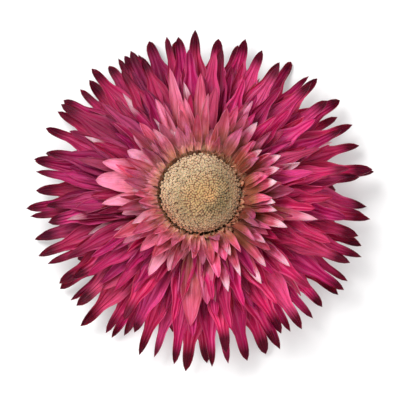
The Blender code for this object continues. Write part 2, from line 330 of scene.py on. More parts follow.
# How a dried bract departs from its plain form: the most that it twists, waves and hooks, in degrees, bends
# aside and curls, as shares, and crumples and pleats, in millimetres. The last is how blunt its point is.
DRYNESS = ("twist", "wave", "bend", "hook", "curl", "crumple", "pleat", "blunt")
RAY_DRYNESS = dict(zip(DRYNESS, (22.0, 7.0, 0.05, 24.0, 0.7, 0.07, 0.16, (7.0, 12.0))))
FILLING_DRYNESS = dict(zip(DRYNESS, (38.0, 12.0, 0.08, 36.0, 1.0, 0.07, 0.11, (3.2, 5.2))))
INNER_DRYNESS = dict(zip(DRYNESS, (26.0, 9.0, 0.08, 44.0, 1.0, 0.05, 0.08, (3.2, 5.2))))
NOTABLE_DRYNESS = dict(zip(DRYNESS, (8.0, 5.0, 0.06, 6.0, 0.5, 0.05, 0.10, (3.6, 5.6))))
CHAFF_DRYNESS = dict(zip(DRYNESS, (12.0, 4.0, 0.03, 10.0, 0.6, 0.02, 0.02, (3.2, 5.2))))
SCALE_DRYNESS = dict(zip(DRYNESS, (5.0, 3.0, 0.03, 8.0, 0.4, 0.03, 0.04, (3.2, 5.2))))
DRYNESS_SEED = 9000

# The least of each, as a share of the most: below zero it goes the other way
LEAST_DRY = {"twist": -1.0, "wave": 0.2, "bend": -1.0, "hook": -0.5, "curl": -0.6, "pleat": 0.3}

# Shell of a bract: its thickness and ribs, its edge, rolled up from a share of its half width, the pleats
# over a given width, which drift aside along it, the ripples along and across it, and the shares of its
# length between which all this stands out
PAPER = 0.12
RIB = 0.04
ROLLED_EDGE = 0.10
ROLLED_FROM = 0.8
PLEATS = (1.2, 2.1)
PLEATED_WIDTH = 3.2
PLEAT_DRIFT = 0.25
RIPPLES = (1.7, 0.6)
RELIEF_ENDS = (0.02, 0.98)

# How far a bract bows across, as half the angle of its arc, and how much closer its rows stand at its tip
BOW = (0.08, 1.6)
BOW_PER_CUP = 4
BOW_AT_ROOT = 0.7
BOW_GROWTH = 0.5
TIP_CROWDING = 0.25

# Rows of points along each bract and columns across it
RAY_GRID = (20, 17)
FILLING_GRID = (16, 9)
INNER_GRID = (18, 9)
CHAFF_GRID = (8, 5)
SCALE_GRID = (14, 9)

# Midrib: waves along it, the share of its length from which it hooks, and its steepest lift
WAVES = 1.3
HOOKED_FROM = 0.72
STEEPEST = math.radians(76.0)

# How much more the innermost bracts stand up towards a bearing, in degrees
LEAN = 9.0
LEAN_BEARING = -20.0
LEAN_AT_TIP = 1.5

# Colour of each bract: the shades that a tone steps through, how light one that stands out is, and how much
# lighter where it fades, how seldom others fade and how strong the painted glints on some tips are
SHADES = 7
NOTABLE_SHADE = 0.4
FADED_SHADE = 0.35
UNFADED = -1.6
FADED_AT_RIM = 0.4
GLINT_STRENGTHS = (0.3, 0.9)

# Florets of the disc, open from this far off the dome's centre. They lean out, as a slope at the centre and
# what the rim adds to it, and each is tilted a little its own way.
DISC_SEED = 77
FLORETS = 900
FLORET_RADIUS = 0.155
FLORET_SPREAD = (-0.2, 0.15)
FLORET_JITTER = 0.06
FLORET_MARGIN = 0.2
FLORET_ROOT = -0.2
FLORET_LIFT = 0.02
FLORET_LEAN = (0.08, 0.75)
FLORET_TILT = 0.2
OPEN_FROM = 2.9
OPEN_VARIES = 0.3
OPEN_TALL = (0.2, 0.4)
CLOSED_TALL = (0.12, 0.24)
LOBES = 5
LOBE_FLARE = 0.2

# Outlines of a floret, in shares of its radius and height, from its root, which is sunk to FLORET_ROOT
OPEN_OUTLINE = ((0.8, 0.0), (0.85, 0.7), (1.12, 1.0), (0.6, 0.9), (0.2, 0.4))
CLOSED_OUTLINE = ((0.9, 0.0), (1.0, 0.4), (0.8, 0.8), (0.4, 1.0))
OPEN_SIDES = 10
CLOSED_SIDES = 8

# Bristles between the florets, longer and leaning further out at the rim
BRISTLES = 1100
BRISTLE_RADII = (0.026, 0.02, 0.007)
BRISTLE_TAPER = 0.6
BRISTLE_SIDES = 4
BRISTLE_REACH = (0.02, 0.99)
BRISTLE_CROWDING = 0.6
BRISTLE_LENGTH = (0.25, 0.5)
BRISTLE_LEAN = (-0.3, 0.5)
BRISTLE_LONGER_AT_RIM = 0.15
BRISTLE_LEAN_AT_RIM = 0.4

# Marks of the disc's core and of its bristles: share of the radius, height and tone
CORE_MARKS = (0.9, 0.0, 0.5)
BRISTLE_MARKS = (0.95, 1.0, 0.9)

# The disc's dome of closed florets with a groove round it, and the bud near its middle with a moat round it
DOME_CENTRE = (0.6, -0.25)
DOME_RADIUS = 3.1
GROOVE = 0.26
GROOVE_WIDTH = 0.4
BUD_CENTRE = (1.25, -0.6)
BUD_HEIGHT = 0.22
BUD_WIDTH = 0.75
MOAT = 0.12
MOAT_RADIUS = 1.5
MOAT_WIDTH = 0.4

# Framing, in millimetres and degrees, with the target's height as a share of the head's
PIXEL = 0.64
FRAME_PIXELS = 80.0
CAMERA_ELEVATION = 80.0
CAMERA_DISTANCE = 600.0
SENSOR = 36.0
TARGET_HEIGHT = 0.28

# Studio, in metres, watts and degrees: name, bearing, elevation, size and power of each lamp
LAMPS = (
    ("key", 146.0, 56.0, 0.28, 2.35),
    ("fill", 330.0, 48.0, 0.6, 0.9),
    ("bounce", 245.0, 40.0, 0.6, 0.8),
)
LAMP_DISTANCE = 0.5
LAMP_TARGET = (0, 0, 0.006)
WORLD_STRENGTH = 0.42
WHITE = (1.0, 1.0, 1.0, 1.0)
FLOOR_HALF = 4.0
FLOOR_GAP = 0.00005
FLOOR_GLOW = 0.26

# Finish of a papery bract. Its patterns are scaled across and along it and shifted by its tone, and its fine
# ribs go through a phase from the middle to the edge. The rest are stops of ramps over the grain, the
# distance across or the place along it, and for its brown side over centimetres to the right.
TONE_SHIFT = 61.0
GRAIN_SCALE = (2.6, 0.8)
BLOTCH_SCALE = (0.8, 2.5)
RIB_PHASE = 38.0
# On the pleats the streaks are painted highlight on the ridges, and the furrows painted shade in them
STREAKS = ((0.52, 0.0), (0.64, 1.0))
FURROWS = ((0.34, 1.0), (0.47, 0.0))
BLOTCHES = ((0.36, 1.0), (0.58, 0.0))
PALE_EDGE = ((0.72, 0.0), (1.0, 0.35))
BEYOND_BASE = ((0.12, 0.0), (0.5, 1.0))
DARK_TIP = ((0.81, 0.0), (0.91, 1.0))
# Where along the tip a painted glint lies
GLINT_ALONG_TIP = ((0.78, 0.0), (0.91, 1.0))
BROWN_BASE = ((0.46, 1.0), (0.68, 0.0))
BROWN_SIDE = ((0.1, 0.0), (0.5, 1.0))
CENTIMETRES = 100.0
# Colour of a painted glint on a tip
GLINT_COLOUR = (1.0, 0.66, 0.74)


def axis_of_head():
    """The head's own axis, in metres: the middle of the stem, which is round."""
    low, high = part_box("stem_and_receptacle")
    return np.array([(low.x + high.x) / 2, (low.y + high.y) / 2, 0.0])


AXIS = axis_of_head()
CEILING = CAD_BOX[1].z / MM


def along(points, share):
    """Value at a share from 0 to 1 on a line drawn through (share, value) points."""
    shares, values = zip(*points)
    return float(np.interp(share, shares, values))


class Piece:
    """Closed shells gathered into one mesh, with their marks and state at each point."""

    def __init__(self, name):
        self.name = name
        self.points = []
        self.marks = []
        self.state = []
        self.faces = []
        self.count = 0

    def add(self, points, faces, marks, pale=0.0, tipped=0.0, ridge=0.0):
        self.points.append(points)
        self.marks.append(marks)
        state = np.empty((len(points), 3))
        state[:, 0], state[:, 1], state[:, 2] = pale, tipped, ridge
        self.state.append(state)
        self.faces.extend(tuple(self.count + k for k in face) for face in faces)
        self.count += len(points)

    def build(self, material, node, sharp=48.0):
        points = np.concatenate(self.points) * MM + AXIS
        mesh = bpy.data.meshes.new(self.name)
        mesh.from_pydata(points.tolist(), [], self.faces)
        for name, values in (("marks", self.marks), ("state", self.state)):
            kept = mesh.attributes.new(name, "FLOAT_VECTOR", "POINT")
            kept.data.foreach_set("vector", np.concatenate(values).astype(np.float32).ravel())
        mesh.shade_smooth()
        mesh.set_sharp_from_angle(angle=math.radians(sharp))
        mesh.materials.append(material)
        obj = bpy.data.objects.new(self.name, mesh)
        bpy.context.scene.collection.objects.link(obj)
        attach(obj, "root")
        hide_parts(node)
        return obj


def off_notch(azimuth, notch):
    """Turn from a notch to a bearing, in degrees, at most half a turn either way."""
    return (azimuth - notch + 180.0) % 360.0 - 180.0


def clear_of_notches(azimuth):
    """Turns a bract aside from a notch in the outline, in degrees."""
    for notch in NOTCHES:
        off = off_notch(azimuth, notch)
        if abs(off) < NOTCH_HALF_WIDTH:
            return notch + math.copysign(NOTCH_HALF_WIDTH + abs(off) / 2, off)
    return azimuth


def bracts_of(kind):
    """One dict of sizes for each bract of a kind, on the spiral, from the outermost in."""
    draw = random.Random(kind["seed"])
    spread = kind["spread"]
    start = kind.get("start", 0)
    bracts = []
    for index in range(kind["count"]):
        share = index / (kind["count"] - 1)
        azimuth = math.degrees((start + index) * GOLDEN_ANGLE) % 360.0 + draw.uniform(-1, 1) * spread["turn"]
        lift = draw.uniform(-1, 1) * spread["lift"]
        tip_lift = along(kind["tip_lift"], share) + lift + draw.uniform(-1, 1) * spread["lift"]
        if share < kind.get("notched_below", 0.0):
            azimuth = clear_of_notches(azimuth % 360.0)
        bracts.append({
            "azimuth": math.radians(azimuth),
            "root_radius": along(kind["root_radius"], share),
            "root_height": along(kind["root_height"], share),
            "root_lift": math.radians(along(kind["root_lift"], share) + lift),
            "tip_lift": math.radians(tip_lift),
            "roll": math.radians(draw.uniform(-1, 1) * spread["roll"]),
            "reach": along(kind["reach"], share) + draw.uniform(-1, 1) * spread["reach"],
            "width": along(kind["width"], share) + draw.uniform(-1, 1) * spread["width"],
            "claw": kind["claw"],
            "cup": kind["cup"],
            "spine": kind.get("spine", SPINE),
            "share": share,
        })
    return bracts


def leaned(bract):
    """Bracts towards one bearing stand up a little more than those across from it, the innermost most."""
    lean = math.radians(LEAN) * math.cos(bract["azimuth"] - math.radians(LEAN_BEARING)) * bract["share"]
    tip_lift = bract["tip_lift"] + LEAN_AT_TIP * lean
    return {**bract, "root_lift": bract["root_lift"] + lean, "tip_lift": tip_lift}


def gap_fillers(seed):
    """Bracts that part the widest gaps between the outermost tips, clear of the notches."""
    draw = random.Random(seed)
    outer = [bract for bract in bracts_of(RAYS) if bract["share"] < OUTERMOST]
    outer.sort(key=lambda bract: bract["azimuth"] % math.tau)
    fillers = []
    for here, after in zip(outer, outer[1:] + outer[:1]):
        gap = math.degrees((after["azimuth"] - here["azimuth"]) % math.tau)
        count = math.ceil(gap / WIDEST_GAP) - 1
        for k in range(count):
            azimuth = math.degrees(here["azimuth"]) + gap * (k + 1) / (count + 1)
            if min(abs(off_notch(azimuth, notch)) for notch in NOTCHES) < NOTCH_HALF_WIDTH:
                continue
            fillers.append({
                **here,
                "azimuth": math.radians(azimuth),
                "reach": (here["reach"] + after["reach"]) / 2 - draw.uniform(*FILLER_SHORTER),
                "root_height": FILLER_ROOT_HEIGHT,
                "width": draw.uniform(*FILLER_WIDTH),
                "roll": math.radians(draw.uniform(-1, 1) * FILLER_ROLL),
                "share": 0.0,
            })
    return fillers


def notable_bracts():
    """The bracts that stand out, with their fading and the strength of a painted glint on each tip."""
    return [
        {
            **NOTABLE_FORM,
            "azimuth": math.radians(bearing),
            "root_height": along(NOTABLE_ROOTS, reach),
            "root_lift": math.radians(root_lift),
            "tip_lift": math.radians(tip_lift),
            "reach": reach,
            "width": width,
            "pale": fading,
            "painted_glint": glint_strength,
        }
        for bearing, reach, width, root_lift, tip_lift, fading, glint_strength in NOTABLE
    ]


def midrib(bract, dry):
    """Radius, height and lift at even steps along a bract, which ends at its tip radius."""
    s = np.linspace(0, 1, MIDRIB_STEPS + 1)
    lift = bract["root_lift"] + (bract["tip_lift"] - bract["root_lift"]) * s
    lift = lift + dry["wave"] * np.sin(2 * math.pi * (WAVES * s + dry["phase"])) * s
    lift = lift + dry["hook"] * np.clip((s - HOOKED_FROM) / (1 - HOOKED_FROM), 0, 1) ** 2
    lift = np.minimum(lift, STEEPEST)
    middle = (lift[1:] + lift[:-1]) / 2
    step = (bract["reach"] - bract["root_radius"]) / np.cos(middle).sum()
    radius = bract["root_radius"] + np.concatenate([[0], np.cumsum(np.cos(middle))]) * step
    height = bract["root_height"] + np.concatenate([[0], np.cumsum(np.sin(middle))]) * step
    return s, radius, height, lift, step * MIDRIB_STEPS


def half_width(bract, dry, s):
    """Half the bract's width at shares of its length: it widens from the claw, then narrows to its spine and
    to a point."""
    widening = np.minimum(1.0, s / WIDEST)
    body = bract["claw"] + (1 - bract["claw"]) * (3 - 2 * widening) * widening ** 2
    narrowing = np.clip((s - NARROWS) / (1 - NARROWS), 0, 1)
    shoulder = np.clip((s - SHOULDER[0]) / (SHOULDER[1] - SHOULDER[0]), 0, 1)
    spine = 1 - (1 - bract["spine"]) * (3 - 2 * shoulder) * shoulder ** 2
    return bract["width"] / 2 * body * spine * (1 - narrowing ** dry["blunt"])


def dryness_of(limits, draw):
    """How one bract has dried, drawn between the least and the most."""

    def some(name):
        return draw.uniform(LEAST_DRY[name], 1) * limits[name]

    return {
        "twist": math.radians(some("twist")),
        "wave": math.radians(some("wave")),
        "phase": draw.random(),
        "bend": some("bend"),
        "hook": math.radians(some("hook")),
        "curl": 1 + some("curl"),
        "crumple": limits["crumple"],
        "blunt": draw.uniform(*limits["blunt"]),
        "pleat": some("pleat"),
        "pleats": draw.uniform(*PLEATS),
        "pleat_phase": draw.random(),
        "tone": draw.random(),
    }


def shell_faces(rows, columns):
    """Faces of a closed blade: rows of points on both sides, one point at the tip, and a rim round them."""
    side = rows * columns + 1
    tip = side - 1
    faces = []
    for row in range(rows - 1):
        for column in range(columns - 1):
            a, b = row * columns + column, (row + 1) * columns + column
            faces.append((a, b, b + 1, a + 1))
            faces.append((side + a, side + a + 1, side + b + 1, side + b))
    last = (rows - 1) * columns
    for column in range(columns - 1):
        a = last + column
        faces.append((a, tip, a + 1))
        faces.append((side + a, side + a + 1, side + tip))
    left = [row * columns for row in range(rows)] + [tip]
    right = [row * columns + columns - 1 for row in range(rows)] + [tip]
    root = list(range(columns))
    for edge in (left[::-1], right, root):
        for a, b in zip(edge, edge[1:]):
            faces.append((a, b, side + b, side + a))
    return faces


def relief_of(bract, dry, s, u):
    """What stands out of a bract's face: ribs, rolled edges, ripples and pleats. Also how high each point
    lies on a pleat."""
    ribs = RIB * np.cos(math.pi * np.arange(len(u)))
    ribs[[0, -1]] = 0.0
    edge = ROLLED_EDGE * np.clip((np.abs(u) - ROLLED_FROM) / (1 - ROLLED_FROM), 0, 1)
    turns = RIPPLES[0] * s[:, None] + RIPPLES[1] * u[None, :] + dry["phase"]
    ripple = dry["crumple"] * np.sin(2 * math.pi * turns) * np.abs(u)[None, :]
    pleats = dry["pleats"] * bract["width"] / PLEATED_WIDTH
    drift = pleats * (u[None, :] + PLEAT_DRIFT * s[:, None]) + dry["pleat_phase"]
    wave = np.sin(2 * math.pi * drift)
    fade = np.sqrt(np.sin(math.pi * np.clip(s, *RELIEF_ENDS)))
    return (ribs[None, :] + edge[None, :] + ripple + dry["pleat"] * wave) * fade[:, None], wave


def blade_points(bract, dry, rows, columns):
    """Points, marks and pleats of a bract as a thin shell, cupped and ribbed across, twisted and waved
    along."""
    even = np.linspace(0, 1, rows + 1)
    s = even * (1 + TIP_CROWDING - TIP_CROWDING * even)
    steps, radius_at, height_at, lift_at, length = midrib(bract, dry)
    radius, height, lift = (np.interp(s, steps, values) for values in (radius_at, height_at, lift_at))
    u = np.linspace(-1, 1, columns)
    out = np.array([math.cos(bract["azimuth"]), math.sin(bract["azimuth"]), 0.0])
    side = np.array([-out[1], out[0], 0.0])
    up = np.array([0.0, 0.0, 1.0])
    centre = radius[:, None] * out + height[:, None] * up + (dry["bend"] * length * s ** 2)[:, None] * side
    normal = np.cos(lift)[:, None] * up - np.sin(lift)[:, None] * out
    roll = bract["roll"] * s + dry["twist"] * s ** 2
    across = np.cos(roll)[:, None] * side + np.sin(roll)[:, None] * normal
    face = np.cos(roll)[:, None] * normal - np.sin(roll)[:, None] * side
    half = half_width(bract, dry, s)
    bow = np.clip(BOW_PER_CUP * bract["cup"] * dry["curl"], *BOW) * (BOW_AT_ROOT + BOW_GROWTH * s)
    swing = np.sin(bow[:, None] * u) / bow[:, None]
    rise = (1 - np.cos(bow[:, None] * u)) / bow[:, None]
    relief, wave = relief_of(bract, dry, s, u)
    lifted = half[:, None] * rise + relief
    middle = centre[:, None, :] + (half[:, None] * swing)[..., None] * across[:, None, :]
    middle = middle + lifted[..., None] * face[:, None, :]
    sheets = [middle + offset * face[:, None, :] for offset in (PAPER / 2, -PAPER / 2)]

    # No row lies under the resting surface or above the solids
    lowest = np.minimum(sheets[0][..., 2], sheets[1][..., 2]).min(axis=1)
    highest = np.maximum(sheets[0][..., 2], sheets[1][..., 2]).max(axis=1)
    shift = np.maximum(0.0, -lowest) - np.maximum(0.0, highest - CEILING)

    marks = np.stack(np.broadcast_arrays(s[:, None], u[None, :], dry["tone"], wave), axis=-1)
    centre_column = columns // 2
    points, kept = [], []
    for sheet in sheets:
        sheet[..., 2] += shift[:, None]
        points.append(sheet[:-1].reshape(-1, 3))
        points.append(sheet[-1:, centre_column])
        kept.append(marks[:-1].reshape(-1, 4))
        kept.append(marks[-1:, centre_column])
    kept = np.concatenate(kept)
    return np.concatenate(points), kept[:, :3], kept[:, 3]


def state_of(bract, kind, draw):
    """How faded a bract is, and how dark its tip is or, below zero, how strong a painted glint it bears."""
    faded = max(0.0, draw.uniform(kind.get("unfaded", UNFADED), 1.0))
    if "painted_glint" in bract:
        return bract["pale"], -bract["painted_glint"]
    tipped = along(kind.get("tipped", NOT_TIPPED), bract["reach"])
    if draw.random() < kind.get("painted_glint", 0.0) and tipped == 0.0:
        tipped = -draw.uniform(*GLINT_STRENGTHS)
    return faded * (FADED_AT_RIM + (1 - FADED_AT_RIM) * bract["share"]), tipped


def make_bracts(name, kinds, grid, material, node):
    """One piece of all the bracts of some kinds, each dried in its own way."""
    faces = shell_faces(*grid)
    piece = Piece(name)
    for kind, limits in kinds:
        draw = random.Random(DRYNESS_SEED + kind["seed"])
        bracts = [leaned(bract) for bract in bracts_of(kind)]
        if kind is BACKING:
            bracts += gap_fillers(kind["seed"])
        if kind is RUFF:
            bracts += notable_bracts()
        for bract in bracts:
            notable = "painted_glint" in bract
            dry = dryness_of(NOTABLE_DRYNESS if notable else limits, draw)
            if notable:
                dry["tone"] = (draw.randrange(SHADES) + NOTABLE_SHADE + FADED_SHADE * bract["pale"]) / SHADES
            points, marks, ridge = blade_points(bract, dry, *grid)
            pale, tipped = state_of(bract, kind, draw)
            piece.add(points, faces, marks, pale, tipped, ridge)
    return piece.build(material, node)


def lathe(outline, sides, radius_at=None):
    """Points and faces of a closed turned solid, capped at both ends of its outline. radius_at gives a ring's
    radius at each turn."""
    rings, faces = [], []
    turns = np.arange(sides) * 2 * math.pi / sides
    for radius, height in outline:
        here = np.full(sides, radius) if radius_at is None else radius_at(radius, height, turns)
        rings.append(np.stack([here * np.cos(turns), here * np.sin(turns), np.full(sides, height)], axis=1))
    points = np.concatenate(rings)
    rows = len(outline)
    for row in range(rows - 1):
        low, high = row * sides, (row + 1) * sides
        for k in range(sides):
            after = (k + 1) % sides
            faces.append((low + k, low + after, high + after, high + k))
    bottom = len(points)
    top = bottom + 1
    centres = np.array([[0.0, 0.0, outline[0][1]], [0.0, 0.0, outline[-1][1]]])
    for k in range(sides):
        after = (k + 1) % sides
        faces.append((bottom, after, k))
        faces.append((top, (rows - 1) * sides + k, (rows - 1) * sides + after))
    return np.concatenate([points, centres]), faces


def bell(distance, width):
    return math.exp(-(distance / width) ** 2)


def disc_height(x, y):
    """Height of the disc's surface: a dome, with a groove round its closed florets and a bud among them."""
    plain = along(DISC_OUTLINE[::-1], math.hypot(x, y))
    from_dome = math.hypot(x - DOME_CENTRE[0], y - DOME_CENTRE[1])
    groove = GROOVE * bell(from_dome - DOME_RADIUS, GROOVE_WIDTH)
    from_bud = math.hypot(x - BUD_CENTRE[0], y - BUD_CENTRE[1])
    crown = BUD_HEIGHT * bell(from_bud, BUD_WIDTH) - MOAT * bell(from_bud - MOAT_RADIUS, MOAT_WIDTH)
    return plain - groove + crown


def turned_frame(direction):
    """Three unit vectors, the last along a direction."""
    w = direction / np.linalg.norm(direction)
    u = np.cross([0.0, 1.0, 0.0], w)
    u = u / np.linalg.norm(u)
    return np.stack([u, np.cross(w, u), w])


def leaning(turn, lean):
    """Direction that leans off the vertical, by a slope, towards a bearing."""
    return np.array([math.cos(turn) * lean, math.sin(turn) * lean, 1.0])


def floret(is_open, tall, size):
    """Points and faces of one small floret: an open tube with lobes, or a closed bud."""
    (root, _), *above = OPEN_OUTLINE if is_open else CLOSED_OUTLINE
    outline = [(root * size, FLORET_ROOT)] + [(radius * size, tall * height) for radius, height in above]

    def lobed(radius, height, turns):
        flare = LOBE_FLARE * np.cos(LOBES * turns) if height >= tall else 0.0
        return radius * (1 + flare)

    return lathe(outline, OPEN_SIDES, lobed) if is_open else lathe(outline, CLOSED_SIDES)


def add_florets(piece, draw):
    """Florets on the spiral, open near the disc's edge and still closed in its middle."""
    reach = DISC_RADIUS - FLORET_MARGIN
    for index in range(FLORETS):
        share = math.sqrt((index + 0.5) / FLORETS)
        radius = reach * share
        turn = index * GOLDEN_ANGLE
        x = math.cos(turn) * radius + draw.uniform(-1, 1) * FLORET_JITTER
        y = math.sin(turn) * radius + draw.uniform(-1, 1) * FLORET_JITTER
        from_dome = math.hypot(x - DOME_CENTRE[0], y - DOME_CENTRE[1])
        is_open = from_dome > OPEN_FROM + draw.uniform(-1, 1) * OPEN_VARIES
        size = FLORET_RADIUS * (1 + draw.uniform(*FLORET_SPREAD))
        tall = draw.uniform(*(OPEN_TALL if is_open else CLOSED_TALL))
        points, faces = floret(is_open, tall, size)
        tilt = np.array([draw.uniform(-1, 1), draw.uniform(-1, 1), 0]) * FLORET_TILT
        axes = turned_frame(leaning(turn, FLORET_LEAN[0] + FLORET_LEAN[1] * share ** 3) + tilt)
        base = np.array([x, y, disc_height(x, y) + FLORET_LIFT])
        heights = np.clip(points[:, 2] / tall, 0, 1)
        marks = np.stack([np.full(len(points), share), heights, np.full(len(points), draw.random())], axis=1)
        piece.add(base + points @ axes, faces, marks, 0.0 if is_open else 1.0)


def add_bristles(piece, draw):
    """Fine bristles all over the disc, between its florets."""
    for _ in range(BRISTLES):
        radius = DISC_RADIUS * draw.uniform(*BRISTLE_REACH) ** BRISTLE_CROWDING
        turn = draw.uniform(0, 2 * math.pi)
        share = radius / DISC_RADIUS
        length = draw.uniform(*BRISTLE_LENGTH) + BRISTLE_LONGER_AT_RIM * share ** 2
        lean = draw.uniform(*BRISTLE_LEAN) + BRISTLE_LEAN_AT_RIM * share ** 2
        heights = (FLORET_ROOT, length * BRISTLE_TAPER, length)
        points, faces = lathe(list(zip(BRISTLE_RADII, heights)), BRISTLE_SIDES)
        x, y = math.cos(turn) * radius, math.sin(turn) * radius
        marks = np.tile(BRISTLE_MARKS, (len(points), 1))
        base = np.array([x, y, disc_height(x, y)])
        piece.add(base + points @ turned_frame(leaning(turn, lean)), faces, marks)


def make_disc(material):
    """The disc: a dome covered by small florets, with bristles between them."""
    draw = random.Random(DISC_SEED)
    piece = Piece("disc_of_florets")
    points, faces = lathe(DISC_CORE, CORE_SIDES)
    piece.add(points, faces, np.tile(CORE_MARKS, (len(points), 1)))
    add_florets(piece, draw)
    add_bristles(piece, draw)
    return piece.build(material, "disc_florets", sharp=60.0)


def make_stem(material):
    """The cut stub, ribbed and fibrous, with its pith sunk a little, and the receptacle above it."""

    def fibrous(radius, height, turns):
        fade = max(0.0, 1 - height / FIBROUS_TO)
        fibres = STEM_FIBRE_DEPTH * np.cos(STEM_FIBRES * turns + STEM_FIBRE_DRIFT * height)
        ribs = STEM_RIB_DEPTH * (np.cos(STEM_RIBS * turns) - 1) + fibres
        return radius * (1 + ribs * fade)

    piece = Piece("cut_stem")
    points, faces = lathe(STUB_OUTLINE + RECEPTACLE_OUTLINE, STEM_SIDES, fibrous)
    distance = np.hypot(points[:, 0], points[:, 1])
    marks = np.stack([points[:, 2] / RECEPTACLE_TOP, distance, np.full(len(points), 0.5)], axis=1)
    piece.add(points, faces, marks)
    return piece.build(material, "stem_and_receptacle")


class Finish:
    """A material's nodes, made and joined in one call each."""

    def __init__(self, name):
        self.material = bpy.data.materials.new(name)
        self.material.use_nodes = True
        self.tree = self.material.node_tree
        self.shader = self.tree.nodes["Principled BSDF"]

    def node(self, kind, inputs, **settings):
        made = self.tree.nodes.new(kind)
        for key, value in settings.items():
            setattr(made, key, value)
        for key, value in inputs.items():
            self.feed(made.inputs[key], value)
        return made

    def feed(self, socket, value):
        if isinstance(value, bpy.types.NodeSocket):
            self.tree.links.new(value, socket)
        else:
            socket.default_value = value

    def split(self, vector):
        """The three numbers of a vector."""
        made = self.node("ShaderNodeSeparateXYZ", {"Vector": vector})
        return made.outputs["X"], made.outputs["Y"], made.outputs["Z"]

    def kept(self, name):
        """The three numbers that the mesh keeps at each point, as its marks or its state."""
        return self.split(self.node("ShaderNodeAttribute", {}, attribute_name=name).outputs["Vector"])

    def where(self):
        """The place in the head, in metres."""
        return self.node("ShaderNodeTexCoord", {}).outputs["Object"]

    def maths(self, operation, first, second=0.0, clamp=False):
        made = self.node("ShaderNodeMath", {0: first, 1: second}, operation=operation, use_clamp=clamp)
        return made.outputs[0]

    def fit(self, value, scale, offset):
        """value * scale + offset"""
        return self.maths("ADD", self.maths("MULTIPLY", value, scale), offset)

    def times(self, first, second):
        return self.maths("MULTIPLY", first, second)

    def vector(self, x, y, z):
        return self.node("ShaderNodeCombineXYZ", {"X": x, "Y": y, "Z": z}).outputs[0]

    def noise(self, where, scale, detail=4.0, roughness=0.55):
        inputs = {"Vector": where, "Scale": scale, "Detail": detail, "Roughness": roughness}
        return self.node("ShaderNodeTexNoise", inputs).outputs["Fac"]

    def ramp(self, value, stops):
        """Colours or numbers along a value, from (place, colour or number) stops."""
        made = self.node("ShaderNodeValToRGB", {"Fac": value})
        elements = made.color_ramp.elements
        while len(elements) < len(stops):
            elements.new(0.5)
        for element, (place, colour) in zip(elements, stops):
            element.position = place
            element.color = (*(colour if isinstance(colour, tuple) else (colour,) * 3), 1.0)
        return made.outputs["Color"]

    def mix(self, share, first, second, blend="MIX"):
        made = self.node("ShaderNodeMix", {}, data_type="RGBA", blend_type=blend)
        self.feed(made.inputs["Factor"], share)
        for socket, value in ((made.inputs[6], first), (made.inputs[7], second)):
            self.feed(socket, (*value, 1.0) if isinstance(value, tuple) else value)
        return made.outputs[2]

    def tint(self, colour, hue, saturation, value):
        inputs = {"Color": colour, "Hue": hue, "Saturation": saturation, "Value": value}
        return self.node("ShaderNodeHueSaturation", inputs).outputs["Color"]

    def bump(self, height, distance, strength=0.6):
        inputs = {"Height": height, "Distance": distance, "Strength": strength}
        return self.node("ShaderNodeBump", inputs).outputs["Normal"]

    def set(self, **values):
        for key, value in values.items():
            self.feed(self.shader.inputs[key.replace("_", " ")], value)
        return self.material


